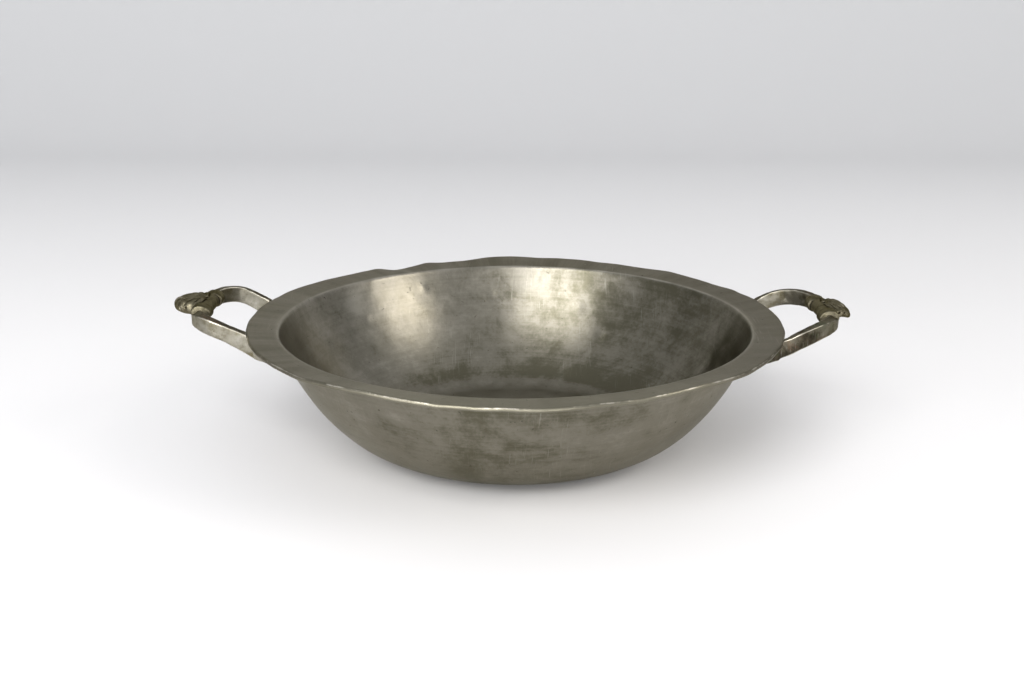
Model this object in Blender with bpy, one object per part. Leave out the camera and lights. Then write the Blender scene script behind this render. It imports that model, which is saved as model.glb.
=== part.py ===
"""Pewter shaving bowl with two soldered loop handles.

Frame: metres, +Z up, origin at the centre of the flat base, handles along +X and -X.
"""

import math

import bmesh
import bpy
import numpy as np

MM = 0.001

# Driving dimensions of the bowl
RIM_RADIUS = 150.0 * MM
BOWL_HEIGHT = 70.2 * MM
BASE_RADIUS = 66.2 * MM
FLANGE_WIDTH = 17.6 * MM
FLANGE_DROP = 1.6 * MM
WALL = 2.4 * MM
FLOOR = 3.0 * MM
FLOOR_ROUNDING = 9.0 * MM
BOWL_STEPS = 96
WALL_STATIONS = 12
# The bend between wall and flange, measured inwards and down from the flange's inner edge
BEND_IN = 0.3 * MM
BEND_DOWN = 0.9 * MM
# Points of the flange's top as shares of its width, and of the rounded rim edge in degrees
FLANGE_SHARES = (0.93, 0.72, 0.5, 0.28)
RIM_ROUNDING = (90.0, 45.0, 0.0, -45.0)
# Dents move only the flange, which lies above this share of the bowl's height
FLANGE_FROM = 0.8
# Handles are trimmed by the bowl's outline, which goes up this far past every part of them
TRIM_ABOVE = 40.0 * MM

# Curve of the wall: it leaves the flange at a share of the flange's width, steeply, and runs out
# flat on the base. The pulls are the distances of the curve's handles from its ends.
WALL_TOP_SHARE = 0.91
UNDERSIDE_SHARE = 0.84
TOP_PULL_IN = 14.2 * MM
TOP_PULL_DOWN = 36.4 * MM
BASE_PULL_OUT = 30.2 * MM

# Driving dimensions of the handles, along x (outward from the axis) and w (round the rim)
STRAP_THICKNESS = 4.2 * MM
STRAP_REACH = 29.4 * MM
STRAP_MIDDLE_HEIGHT = 8.2 * MM
STRAP_SIDE_HEIGHT = 9.8 * MM
STRAP_ARRIS = 0.7 * MM
FILLET_THIN = 0.5 * MM
FILLET_THICK = 2.6 * MM
FILLET_SIDES = 16
FILLET_START = RIM_RADIUS - 9.0 * MM
NECK_X = RIM_RADIUS - 9.0 * MM
FOOT_TOP = BOWL_HEIGHT - 3.2 * MM
# The top of the front legs slopes outward, more so next to the shell; the back legs are flat
SLANT = 0.5 * MM
SLANT_AT_SHELL = 3.0 * MM
SLANT_SPREAD = 13.0 * MM
# Hand-worked curve of the strap: it rises a little beside the crown, is slimmer on the bend and
# taller on the leg, and each leg is pinched next to the neck and falls more steeply there
CROWN_RISE = 0.4 * MM
BEND_SLIMMER = 0.4 * MM
LEG_TALLER = 0.3 * MM
NECK_PINCH = 0.6 * MM
NECK_FALL = 1.3
# The foot spreads from the neck: inward and sideways distances of its curve's handles
FOOT_SPREAD = (
    (4.0 * MM, 0.9 * MM),
    (15.0 * MM, 8.6 * MM),
    (36.0 * MM, 26.6 * MM),
)
END_POINTS = 18
LEG_POINTS = 7
FOOT_POINTS = 11
# Power under 1 that swells a circle to the rounded box of a solder collar
SOLDER_SWELL = 0.6

# Driving dimensions of the shell ornaments
SHELL_FLUTES = 9
SHELL_HALF_WIDTH = 13.5 * MM
SHELL_FAN = math.radians(82.0)
SHELL_SCALLOP = 0.3 * MM
SHELL_SHOULDER = 1.5
RINGS_PER_FLUTE = 4
# Underside of the shell: flat up to this share, then a rounded lip through these angles
SHELL_FLAT = 0.6
LIP_ANGLES = (-45.0, 0.0, 40.0, 75.0)
# Top of the shell from lip to hinge: share of the length, height of the dome, depth of the flutes
SHELL_TOP = (
    (0.66, 0.2 * MM, 0.40 * MM),
    (0.42, 0.3 * MM, 0.35 * MM),
    (0.18, 0.1 * MM, 0.15 * MM),
)
HINGE_DIP = 0.4 * MM
DROOP_LENGTH = 9.0 * MM
DROOP_POWER = 1.5
HINGE_RADIUS = 4.0 * MM
HINGE_HALF_WIDTH = 10.2 * MM
VOLUTE_HEIGHT_RADIUS = 4.4 * MM
VOLUTE_LENGTH_RADIUS = 5.6 * MM
VOLUTE_START = 11.0 * MM
VOLUTE_END = 15.8 * MM
VOLUTE_ROUNDING = 0.8 * MM
EYE_RADIUS = 1.2 * MM
EYE_FLOOR = 14.8 * MM
EYE_MOUTH = 18.0 * MM
ROLL_SIDES = 20
ROLL_TURN = 0.37
LEAF_START = 11.0 * MM
LEAF_END = 27.0 * MM
LEAF_THICK = 3.4 * MM
LEAF_THIN = 1.0 * MM
LEAF_BELOW_TOP = 0.8 * MM
LEAF_ABOVE_FOOT = 0.5 * MM
LEAF_TOP_BEVEL = 1.2 * MM
LEAF_LOW_BEVEL = 1.6 * MM
SEAT_HALF_WIDTH = 15.0 * MM
SEAT_END = 22.0 * MM
SEAT_DEPTH = 3.0 * MM
# How far the casting's parts sink into each other, so that they join in one body
OVERLAP = 0.3 * MM

# Clearance between pieces that touch on the real object
GAP = 0.3 * MM
# Points of a mesh that lie closer than this are one point
WELD = 0.01 * MM
SHARP_ANGLE = math.radians(35.0)

# Both handles were bent by hand, so each has its own shape. The loop is widest (side) at a place
# past the rim (widest); heights are above the plane of the rim, and fall is the slope of the
# strap's top there. The foot's height is measured down the strap. The scroll's middle line and the
# shell's underside have their own heights, and the shell its own lip radius, length, tilt and droop.
HANDLES = {
    "right": {
        "azimuth": 0.0,
        "side": 42.1 * MM,
        "widest": -2.4 * MM,
        "neck": 40.8 * MM,
        "crown": 6.6 * MM,
        "widest_top": 1.6 * MM,
        "neck_top": -2.4 * MM,
        "fall": 0.57,
        "foot_height": 9.7 * MM,
        "scroll": 4.7 * MM,
        "underside": 2.6 * MM,
        "lip": 2.7 * MM,
        "shell": 15.9 * MM,
        "tilt": 0.05,
        "droop": 5.0 * MM,
    },
    "left": {
        "azimuth": math.pi,
        "side": 36.0 * MM,
        "widest": 8.7 * MM,
        "neck": 34.8 * MM,
        "crown": 8.2 * MM,
        "widest_top": 6.8 * MM,
        "neck_top": -2.0 * MM,
        "fall": 0.44,
        "foot_height": 12.0 * MM,
        "scroll": 6.6 * MM,
        "underside": 3.2 * MM,
        "lip": 3.8 * MM,
        "shell": 18.8 * MM,
        "tilt": 0.06,
        "droop": 0.6 * MM,
    },
}
# Share of a quarter ellipse's radius at which a cubic curve's handles stand
ROUND = 0.5523

# Hammered and bent rim: azimuth and half width in degrees, and rise of the rim edge
RIM_DENTS = (
    (92.0, 7.0, 1.3 * MM),
    (78.0, 7.0, 0.9 * MM),
    (108.0, 7.0, -1.3 * MM),
    (121.0, 6.0, -2.6 * MM),
    (240.0, 10.0, 1.2 * MM),
    (273.0, 12.0, -0.8 * MM),
    (304.0, 9.0, 1.0 * MM),
)


def bezier(points, count):
    """Return count points on the cubic Bezier curve with the four given control points."""
    p0, p1, p2, p3 = (np.array(point, dtype=float) for point in points)
    t = np.linspace(0.0, 1.0, count)[:, None]
    s = 1.0 - t
    return s**3 * p0 + 3.0 * s**2 * t * p1 + 3.0 * s * t**2 * p2 + t**3 * p3


def metal(name, colour, roughness):
    """Return a Principled metal material."""
    material = bpy.data.materials.new(name)
    material.use_nodes = True
    shader = material.node_tree.nodes["Principled BSDF"]
    shader.inputs["Base Color"].default_value = (*colour, 1.0)
    shader.inputs["Roughness"].default_value = roughness
    shader.inputs["Metallic"].default_value = 1.0
    material.diffuse_color = (*colour, 1.0)
    return material


def add_object(name, mesh, material=None):
    """Link a mesh as a named object with its material, shaded smooth up to its sharp edges."""
    mesh.shade_smooth()
    mesh.set_sharp_from_angle(angle=SHARP_ANGLE)
    if material is not None:
        mesh.materials.append(material)
    item = bpy.data.objects.new(name, mesh)
    bpy.context.scene.collection.objects.link(item)
    return item


def add_tool(name, mesh):
    """Link a mesh as a hidden cutter or operand of a Boolean."""
    tool = add_object(name, mesh)
    tool.hide_render = True
    tool.display_type = "WIRE"
    return tool


def combine(item, tool, operation):
    """Add a Boolean of item with tool."""
    modifier = item.modifiers.new(operation.title() + " " + tool.name, "BOOLEAN")
    modifier.operation = operation
    modifier.solver = "EXACT"
    modifier.object = tool


def turned_mesh(name, profile):
    """Turn a profile of (radius, height) points that starts and ends on the axis."""
    bm = bmesh.new()
    verts = [bm.verts.new((radius, 0.0, height)) for radius, height in profile]
    edges = [bm.edges.new(pair) for pair in zip(verts, verts[1:])]
    bmesh.ops.spin(
        bm,
        geom=verts + edges,
        cent=(0.0, 0.0, 0.0),
        axis=(0.0, 0.0, 1.0),
        angle=math.tau,
        steps=BOWL_STEPS,
        use_merge=True,
    )
    bmesh.ops.remove_doubles(bm, verts=bm.verts, dist=WELD)
    bmesh.ops.recalc_face_normals(bm, faces=bm.faces)
    mesh = bpy.data.meshes.new(name)
    bm.to_mesh(mesh)
    bm.free()
    return mesh


def loft_mesh(name, rings):
    """Skin a row of closed rings with the same number of points, and cap both ends.

    Twisted quads are split the same way in a piece and in its clearance, so that the gap holds.
    """
    bm = bmesh.new()
    rows = [[bm.verts.new(point) for point in ring] for ring in rings]
    count = len(rows[0])
    for low, high in zip(rows, rows[1:]):
        for i in range(count):
            j = (i + 1) % count
            bm.faces.new((low[i], low[j], high[j], high[i]))
    bmesh.ops.triangulate(bm, faces=bm.faces, quad_method="FIXED")
    bm.faces.new(rows[0][::-1])
    bm.faces.new(rows[-1])
    bmesh.ops.recalc_face_normals(bm, faces=bm.faces)
    mesh = bpy.data.meshes.new(name)
    bm.to_mesh(mesh)
    bm.free()
    return mesh


# ---- bowl ---------------------------------------------------------------------------------

def outer_wall(count):
    """Outer side of the wall as (radius, height) points, from the flange down to the base."""
    top = (RIM_RADIUS - WALL_TOP_SHARE * FLANGE_WIDTH, BOWL_HEIGHT - FLANGE_DROP - WALL)
    bottom = (BASE_RADIUS, 0.0)
    steep = (top[0] - TOP_PULL_IN, top[1] - TOP_PULL_DOWN)
    flat = (bottom[0] + BASE_PULL_OUT, 0.0)
    return bezier((top, steep, flat, bottom), count)


def flange_underside():
    """Underside of the flange as (radius, height) points, from the rim edge inwards."""
    outer = (RIM_RADIUS - WALL / 2.0, BOWL_HEIGHT - WALL)
    inner_height = BOWL_HEIGHT - WALL - UNDERSIDE_SHARE * FLANGE_DROP
    inner = (RIM_RADIUS - UNDERSIDE_SHARE * FLANGE_WIDTH, inner_height)
    return [outer, inner]


def inner_wall():
    """Inner side of the wall, from near the floor up to just below the flange."""
    wall = outer_wall(WALL_STATIONS)
    tangent = np.gradient(wall, axis=0)
    normal = np.column_stack((tangent[:, 1], -tangent[:, 0]))
    normal /= np.linalg.norm(normal, axis=1)[:, None]
    return [tuple(point) for point in (wall + normal * WALL)[-3:0:-1]]


def bowl_profile():
    """Profile from the middle of the floor, up the inside, over the rim and back under the base."""
    edge = WALL / 2.0
    inside = inner_wall()
    floor = [(0.0, FLOOR), (inside[0][0] - FLOOR_ROUNDING, FLOOR)]
    bend = (RIM_RADIUS - FLANGE_WIDTH - BEND_IN, BOWL_HEIGHT - FLANGE_DROP - BEND_DOWN)
    flange_top = [
        (RIM_RADIUS - share * FLANGE_WIDTH, BOWL_HEIGHT - share * FLANGE_DROP)
        for share in FLANGE_SHARES
    ]
    rim = [
        (RIM_RADIUS - edge + edge * math.cos(a), BOWL_HEIGHT - edge + edge * math.sin(a))
        for a in np.radians(RIM_ROUNDING)
    ]
    outside = [tuple(point) for point in outer_wall(WALL_STATIONS)]
    return floor + inside + [bend] + flange_top + rim + flange_underside() + outside + [(0.0, 0.0)]


def bowl_mesh():
    """Turn the bowl and bend its flange up and down at the dents."""
    mesh = turned_mesh("bowl_body", bowl_profile())
    for vertex in mesh.vertices:
        vertex.co.z += rim_rise(*vertex.co)
    return mesh


def rim_rise(x, y, z):
    """Height that the dents add to a point of the flange; none at its inner edge."""
    share = (math.hypot(x, y) - (RIM_RADIUS - FLANGE_WIDTH)) / FLANGE_WIDTH
    if share <= 0.0 or z < FLANGE_FROM * BOWL_HEIGHT:
        return 0.0
    azimuth = math.degrees(math.atan2(y, x)) % 360.0
    rise = 0.0
    for centre, half_width, height in RIM_DENTS:
        rise += height * math.exp(-(((azimuth - centre) / half_width) ** 2))
    return rise * share


def bowl_envelope(name, gap):
    """Everything inside, in or above the bowl, grown by a gap: what a handle stays out of."""
    wall = outer_wall(WALL_STATIONS)
    outside = [(radius + gap, height - gap) for radius, height in wall]
    under = [(radius + gap, height - gap) for radius, height in flange_underside()]
    rim = RIM_RADIUS + gap
    lid = BOWL_HEIGHT + TRIM_ABOVE
    profile = [(0.0, lid), (rim, lid), (rim, under[0][1])] + under + outside[1:]
    profile.append((0.0, -gap))
    return turned_mesh(name, profile)


# ---- handles ------------------------------------------------------------------------------

def half_strap(handle):
    """Stations from the middle of a strap to its foot: x, w, top height and strap height."""
    form = HANDLES[handle]
    side, neck_side, fall, foot = form["side"], form["neck"], form["fall"], form["foot_height"]
    reach = RIM_RADIUS + STRAP_REACH
    widest_x = RIM_RADIUS + form["widest"]
    crown = BOWL_HEIGHT + form["crown"]
    widest_top = BOWL_HEIGHT + form["widest_top"]
    neck_top = BOWL_HEIGHT + form["neck_top"]
    out = ROUND * (reach - widest_x)
    step = (widest_x - NECK_X) / 3.0
    low_side = STRAP_SIDE_HEIGHT - BEND_SLIMMER
    widest = (widest_x, side, widest_top, STRAP_SIDE_HEIGHT)
    neck = (NECK_X, neck_side, neck_top, foot)
    end = (
        (reach, 0.0, crown, STRAP_MIDDLE_HEIGHT),
        (reach, ROUND * side, crown + CROWN_RISE, STRAP_MIDDLE_HEIGHT),
        (widest_x + out, side, widest_top + fall * out, low_side),
        widest,
    )
    leg = (
        widest,
        (widest_x - step, side, widest_top - fall * step, STRAP_SIDE_HEIGHT + LEG_TALLER),
        (NECK_X + step, neck_side - NECK_PINCH, neck_top + NECK_FALL * fall * step, foot),
        neck,
    )
    spread = [neck]
    for inward, sideways in FOOT_SPREAD:
        spread.append((NECK_X - inward, neck_side + sideways, FOOT_TOP, foot))
    end_part = bezier(end, END_POINTS)
    leg_part = bezier(leg, LEG_POINTS)[1:]
    foot_part = bezier(spread, FOOT_POINTS)[1:]
    return np.vstack((end_part, leg_part, foot_part))


def strap_stations(handle):
    """Stations of a whole strap, from its foot at -w round to its foot at +w."""
    right = half_strap(handle)
    left = right[:0:-1] * np.array((1.0, -1.0, 1.0, 1.0))
    return np.vstack((left, right))


def sides(stations):
    """Unit vectors that point away from the bowl, square to the path, at each station."""
    along = np.gradient(stations[:, :2], axis=0)
    along /= np.linalg.norm(along, axis=1)[:, None]
    return np.column_stack((along[:, 1], -along[:, 0]))


def place(x, w, z, handle):
    """Turn a point from handle coordinates to the bowl's frame."""
    turn = HANDLES[handle]["azimuth"]
    return (
        x * math.cos(turn) - w * math.sin(turn),
        x * math.sin(turn) + w * math.cos(turn),
        z,
    )


def outer_drop(w, handle):
    """How far the top's outer edge lies lower: on the seat, and on the sloping front leg."""
    if w * math.cos(HANDLES[handle]["azimuth"]) > 0.0:
        return seat_drop(w)
    past = max(0.0, abs(w) - SEAT_HALF_WIDTH) / SLANT_SPREAD
    return max(seat_drop(w), SLANT + (SLANT_AT_SHELL - SLANT) * math.exp(-(past**2)))


def bar_rings(stations, handle, grow):
    """Rings of a bar with chamfered arrises that follows the strap's stations."""
    half = STRAP_THICKNESS / 2.0 + grow
    flat = half - STRAP_ARRIS
    rings = []
    for (x, w, top, height), side in zip(stations, sides(stations)):
        high = top - seat_drop(w) + grow
        outer_high = top - outer_drop(w, handle) + grow
        low = top - height - grow
        outline = (
            (half, low + STRAP_ARRIS),
            (half, outer_high - STRAP_ARRIS),
            (flat, outer_high),
            (-flat, high),
            (-half, high - STRAP_ARRIS),
            (-half, low + STRAP_ARRIS),
            (-flat, low),
            (flat, low),
        )
        rings.append(
            [place(x + across * side[0], w + across * side[1], z, handle) for across, z in outline]
        )
    return rings


def seat_drop(w):
    """How far the strap's top lies lower where the shell ornament sits on it."""
    return SEAT_DEPTH * min(1.0, max(0.0, (SEAT_END - abs(w)) / (SEAT_END - SEAT_HALF_WIDTH)))


def strap_mesh(name, handle, grow):
    """Mesh of a strap with its seat, grown by a clearance on every side."""
    return loft_mesh(name, bar_rings(strap_stations(handle), handle, grow))


def fillet_mesh(name, handle, sign):
    """Collar of solder that flares from the strap's foot on to the wall."""
    stations = half_strap(handle) * np.array((1.0, sign, 1.0, 1.0))
    reach = np.hypot(stations[:, 0], stations[:, 1])
    stations = stations[reach < FILLET_START]
    rings = []
    count = len(stations)
    for index, (station, side) in enumerate(zip(stations, sides(stations))):
        flare = FILLET_THIN + (FILLET_THICK - FILLET_THIN) * (index / (count - 1)) ** 2
        x, w, top, height = station
        half = STRAP_THICKNESS / 2.0 + flare
        middle = top - height / 2.0
        tall = height / 2.0 + flare
        ring = []
        for step in range(FILLET_SIDES):
            angle = math.tau * step / FILLET_SIDES
            across = half * rounded(math.cos(angle))
            z = middle + tall * rounded(math.sin(angle))
            ring.append(place(x + across * side[0], w + across * side[1], z, handle))
        rings.append(ring)
    return loft_mesh(name, rings)


def rounded(value):
    """Swell a sine or cosine so that a circle becomes a rounded box."""
    return math.copysign(abs(value) ** SOLDER_SWELL, value)


# ---- shell ornaments ----------------------------------------------------------------------

def flute_wave(angle):
    """Wave over the fan of the shell: 1 on the crest of a rib and -1 in a flute."""
    return math.cos(SHELL_FLUTES * math.pi * angle / SHELL_FAN)


def shell_reach(handle, angle):
    """Distance from the hinge to the scalloped lip, in a direction from the middle line."""
    length = HANDLES[handle]["shell"]
    share = abs(math.sin(angle)) ** SHELL_SHOULDER
    return length + (SHELL_HALF_WIDTH - length) * share + SHELL_SCALLOP * flute_wave(angle)


def shell_section(handle, angle):
    """Section of the shell along a rib or a flute: distance from the hinge, height."""
    lip = HANDLES[handle]["lip"]
    start = HINGE_RADIUS / 2.0
    centre = shell_reach(handle, angle) - lip
    wave = flute_wave(angle)
    section = [(start, 0.0), (SHELL_FLAT * centre, 0.0), (centre, 0.0)]
    for turn in np.radians(LIP_ANGLES):
        section.append((centre + lip * math.cos(turn), lip + lip * math.sin(turn)))
    for share, dome, depth in SHELL_TOP:
        height = 2.0 * lip + dome + depth * wave
        section.append((start + share * (centre - start), height))
    section.append((start, 2.0 * lip - HINGE_DIP))
    return section


def shell_mesh(name, handle):
    """Fluted fan that opens outward from a hinge above the strap, its lip drooping."""
    form = HANDLES[handle]
    base = BOWL_HEIGHT + form["underside"]
    edge = RIM_RADIUS + STRAP_REACH + STRAP_THICKNESS / 2.0 + 2.0 * GAP
    rings = []
    for angle in np.linspace(-SHELL_FAN, SHELL_FAN, RINGS_PER_FLUTE * SHELL_FLUTES + 1):
        ring = []
        for r, z in shell_section(handle, angle):
            x = hinge_x() + r * math.cos(angle)
            droop = form["droop"] * (max(0.0, x - edge) / DROOP_LENGTH) ** DROOP_POWER
            ring.append(tilted(x, r * math.sin(angle), base + z - droop, handle))
        rings.append(ring)
    return loft_mesh(name, rings)


def tilted(x, w, z, handle):
    """Place a point of the ornament, tilted up and outwards about its hinge."""
    return place(x, w, z + HANDLES[handle]["tilt"] * (x - hinge_x()), handle)


def hinge_x():
    """Distance of the hinge's middle line from the bowl's axis."""
    return RIM_RADIUS + STRAP_REACH - STRAP_THICKNESS / 2.0 - HINGE_RADIUS + OVERLAP


def roll_mesh(name, handle, rings_along):
    """Bar along w on the hinge's middle line, through (w, length radius, height radius) rings."""
    z = BOWL_HEIGHT + HANDLES[handle]["scroll"]
    rings = []
    for w, length_radius, height_radius in rings_along:
        ring = []
        for angle in (math.tau * (step + ROLL_TURN) / ROLL_SIDES for step in range(ROLL_SIDES)):
            x = hinge_x() + length_radius * math.cos(angle)
            ring.append(tilted(x, w, z + height_radius * math.sin(angle), handle))
        rings.append(ring)
    return loft_mesh(name, rings)


def scroll_rings():
    """Rings of the hinge roll with a rounded volute at each end."""
    length, height, less = VOLUTE_LENGTH_RADIUS, VOLUTE_HEIGHT_RADIUS, VOLUTE_ROUNDING
    half = (
        (HINGE_HALF_WIDTH, HINGE_RADIUS, HINGE_RADIUS),
        (VOLUTE_START, length, height),
        (VOLUTE_END, length, height),
        (VOLUTE_END + less, length - less, height - less),
    )
    mirrored = tuple((-w, *radii) for w, *radii in half[::-1])
    return mirrored + half


def leaf_mesh(name, handle, sign):
    """Leaf that grows thinner along the inner face of the strap, from the volute on."""
    stations = half_strap(handle) * np.array((1.0, sign, 1.0, 1.0))
    normals = sides(stations) * sign
    across = stations[:, 1] * sign
    inside = (across > LEAF_START) & (across < LEAF_END)
    rings = []
    for station, side in zip(stations[inside], normals[inside]):
        x, w, top, height = station
        share = (abs(w) - LEAF_START) / (LEAF_END - LEAF_START)
        face = -STRAP_THICKNESS / 2.0 + OVERLAP
        back = -STRAP_THICKNESS / 2.0 - LEAF_THICK + (LEAF_THICK - LEAF_THIN) * share
        middle = (face + back) / 2.0
        high = top - LEAF_BELOW_TOP
        low = top - height + LEAF_ABOVE_FOOT
        outline = (
            (face, low),
            (face, high),
            (middle, high),
            (back, high - LEAF_TOP_BEVEL),
            (back, low + LEAF_LOW_BEVEL),
            (middle, low),
        )
        rings.append([place(x + d * side[0], w + d * side[1], z, handle) for d, z in outline])
    return loft_mesh(name, rings)


def ornament(handle, material):
    """Shell, scroll with an eye in each end, and two leaves, joined in one casting."""
    item = add_object("shell_ornament_" + handle, shell_mesh("shell_" + handle, handle), material)
    scroll = roll_mesh("scroll_" + handle, handle, scroll_rings())
    combine(item, add_tool(scroll.name, scroll), "UNION")
    for sign, end in ((-1, "a"), (1, "b")):
        label = handle + "_" + end
        eye = [(sign * w, EYE_RADIUS, EYE_RADIUS) for w in (EYE_FLOOR, EYE_MOUTH)]
        hole = roll_mesh("eye_" + label, handle, eye)
        leaf = leaf_mesh("leaf_" + label, handle, sign)
        combine(item, add_tool(leaf.name, leaf), "UNION")
        combine(item, add_tool(hole.name, hole), "DIFFERENCE")
    return item


# ---- assembly -----------------------------------------------------------------------------

def build_handle(handle, envelope, materials):
    """Strap, ornament and two solder fillets of one handle."""
    strap = add_object(
        "handle_strap_" + handle, strap_mesh("strap_" + handle, handle, 0.0), materials["strap"]
    )
    combine(strap, envelope, "DIFFERENCE")
    clearance = add_tool("strap_clearance_" + handle, strap_mesh("clear_" + handle, handle, GAP))
    shell = ornament(handle, materials["ornament"])
    combine(shell, clearance, "DIFFERENCE")
    facing = math.cos(HANDLES[handle]["azimuth"])
    for sign, end in ((-facing, "front"), (facing, "back")):
        name = "solder_fillet_" + handle + "_" + end
        fillet = add_object(name, fillet_mesh(name, handle, sign), materials["solder"])
        combine(fillet, envelope, "DIFFERENCE")
        combine(fillet, clearance, "DIFFERENCE")


def build():
    """Model the bowl and both handles."""
    for item in list(bpy.data.objects):
        bpy.data.objects.remove(item, do_unlink=True)
    materials = {
        "bowl": metal("pewter_bowl", (0.26, 0.25, 0.20), 0.36),
        "strap": metal("pewter_strap", (0.36, 0.33, 0.27), 0.38),
        "ornament": metal("pewter_ornament", (0.20, 0.17, 0.11), 0.50),
        "solder": metal("pewter_solder", (0.33, 0.32, 0.28), 0.45),
    }
    add_object("bowl_body", bowl_mesh(), materials["bowl"])
    envelope = add_tool("bowl_envelope", bowl_envelope("bowl_envelope", GAP))
    for handle in HANDLES:
        build_handle(handle, envelope, materials)


build()
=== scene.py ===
"""Looks of the pewter shaving bowl: fine meshes on the CAD frame, aged pewter and a plain studio.

Metres, +Z up, origin at the centre of the flat base, handles along +X and -X.
"""

import math

import bmesh
import bpy
import numpy as np
from mathutils import Matrix, Vector


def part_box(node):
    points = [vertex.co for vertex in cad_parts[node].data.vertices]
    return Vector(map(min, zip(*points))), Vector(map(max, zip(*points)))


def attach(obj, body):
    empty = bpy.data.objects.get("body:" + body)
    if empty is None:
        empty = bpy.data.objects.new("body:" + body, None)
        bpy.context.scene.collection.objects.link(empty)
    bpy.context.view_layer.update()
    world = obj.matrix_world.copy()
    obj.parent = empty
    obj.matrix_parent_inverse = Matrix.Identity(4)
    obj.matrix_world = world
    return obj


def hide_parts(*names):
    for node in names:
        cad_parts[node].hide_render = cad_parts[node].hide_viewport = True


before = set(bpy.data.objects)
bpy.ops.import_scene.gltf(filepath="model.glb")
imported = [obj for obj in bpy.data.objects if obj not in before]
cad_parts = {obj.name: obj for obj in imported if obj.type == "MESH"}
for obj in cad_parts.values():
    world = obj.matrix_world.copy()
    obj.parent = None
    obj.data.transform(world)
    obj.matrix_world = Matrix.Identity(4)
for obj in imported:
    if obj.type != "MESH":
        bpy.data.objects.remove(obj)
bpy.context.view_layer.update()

MM = 0.001

# Driving dimensions of the bowl, as in the CAD
RIM_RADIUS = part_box("bowl_body")[1].x
BOWL_HEIGHT = 70.2 * MM
BASE_RADIUS = 66.2 * MM
FLANGE_WIDTH = 17.6 * MM
FLANGE_DROP = 1.6 * MM
WALL = 2.4 * MM
FLOOR = 3.0 * MM
RIM_EDGE = WALL / 2.0
BOWL_STEPS = 900
WALL_TOP_SHARE = 0.91
UNDERSIDE_SHARE = 0.84
TOP_PULL_IN = 14.2 * MM
TOP_PULL_DOWN = 36.4 * MM
BASE_PULL_OUT = 30.2 * MM
UNDER_HEIGHT = BOWL_HEIGHT - WALL - UNDERSIDE_SHARE * FLANGE_DROP
UNDER_END = (RIM_RADIUS - UNDERSIDE_SHARE * FLANGE_WIDTH, UNDER_HEIGHT)
# The flange is everything above this share of the height; the wall's dings fade out at the base
FLANGE_FROM = 0.8
FLAT_BELOW = 8.0 * MM
# Points along the parts of the profile; the corners take up a few of the wall's own points
FLOOR_POINTS, INSIDE_POINTS, BEND_POINTS, FLANGE_POINTS, RIM_POINTS = 40, 96, 16, 24, 15
UNDER_POINTS, CORNER_POINTS, OUTSIDE_POINTS, BASE_POINTS, CORNER_SKIP = 16, 8, 90, 24, 3
MIDDLE_RADIUS = 0.6 * MM
BEND_KNEE = 0.25 * MM
BEND_SHARE = 0.88
# Smooth noises as (height, wavelength, seed): hammered flange, pulled rim edge, planished wall
HAMMERED = ((0.1 * MM, 26.0 * MM, 3), (0.05 * MM, 11.0 * MM, 4))
PULLED = ((0.22 * MM, 34.0 * MM, 5),)
PLANISHED = ((0.07 * MM, 40.0 * MM, 7), (0.025 * MM, 14.0 * MM, 8))
RIM_INSET = 0.16 * MM
NICK_DEPTH = 0.2 * MM
NICK_WAVE = 7.0 * MM
NICKS_ABOVE = 1.2
# Places that are worn or stained, and where painted highlight and painted shade go
RIM_WEAR_INSET = 0.45 * MM
RIM_WEAR_SPREAD = 0.55 * MM
BEND_LINE_INSET = 0.35 * MM
BEND_LINE_SPREAD = 0.7 * MM
FLOOR_RING = 88.0 * MM
FLOOR_RING_WIDTH = 7.0 * MM
FLOOR_FADE = 16.0 * MM
UNDER_FADE = 4.0 * MM

# Driving dimensions of the handles, as in the CAD
STRAP_THICKNESS = 4.2 * MM
STRAP_REACH = 29.4 * MM
STRAP_MIDDLE_HEIGHT = 8.2 * MM
STRAP_SIDE_HEIGHT = 9.8 * MM
STRAP_ARRIS = 0.7 * MM
NECK_X = RIM_RADIUS - 9.0 * MM
FOOT_TOP = BOWL_HEIGHT - 3.2 * MM
FILLET_START = NECK_X
SLANT = 0.5 * MM
SLANT_AT_SHELL = 3.0 * MM
SLANT_SPREAD = 13.0 * MM
SEAT_HALF_WIDTH = 15.0 * MM
SEAT_END = 22.0 * MM
SEAT_DEPTH = 3.0 * MM
ROUND = 0.5523
CROWN_RISE = 0.4 * MM
BEND_SLIMMER = 0.4 * MM
LEG_TALLER = 0.3 * MM
NECK_PINCH = 0.6 * MM
NECK_FALL = 1.3
FOOT_SPREAD = ((4.0 * MM, 0.9 * MM), (15.0 * MM, 8.6 * MM), (36.0 * MM, 26.6 * MM))
# Points on the end, the leg and the foot of half a strap, for a density of 1
STRAP_POINTS = (20, 7, 11)
STRAP_DENSITY = 5
FILLET_DENSITY = 4
LEAF_DENSITY = 8
FILLET_THIN = 0.5 * MM
FILLET_GROWTH = 2.1 * MM
FILLET_SIDES = 48
SOLDER_SWELL = 0.6
LUMPS = ((0.22 * MM, 7.0 * MM, 41),)
TARNISH_FROM = 8.0 * MM
TARNISH_FADE = 8.0 * MM
NEAR_SHELL_END = 25.0 * MM
NEAR_SHELL_FADE = 7.0 * MM
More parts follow.
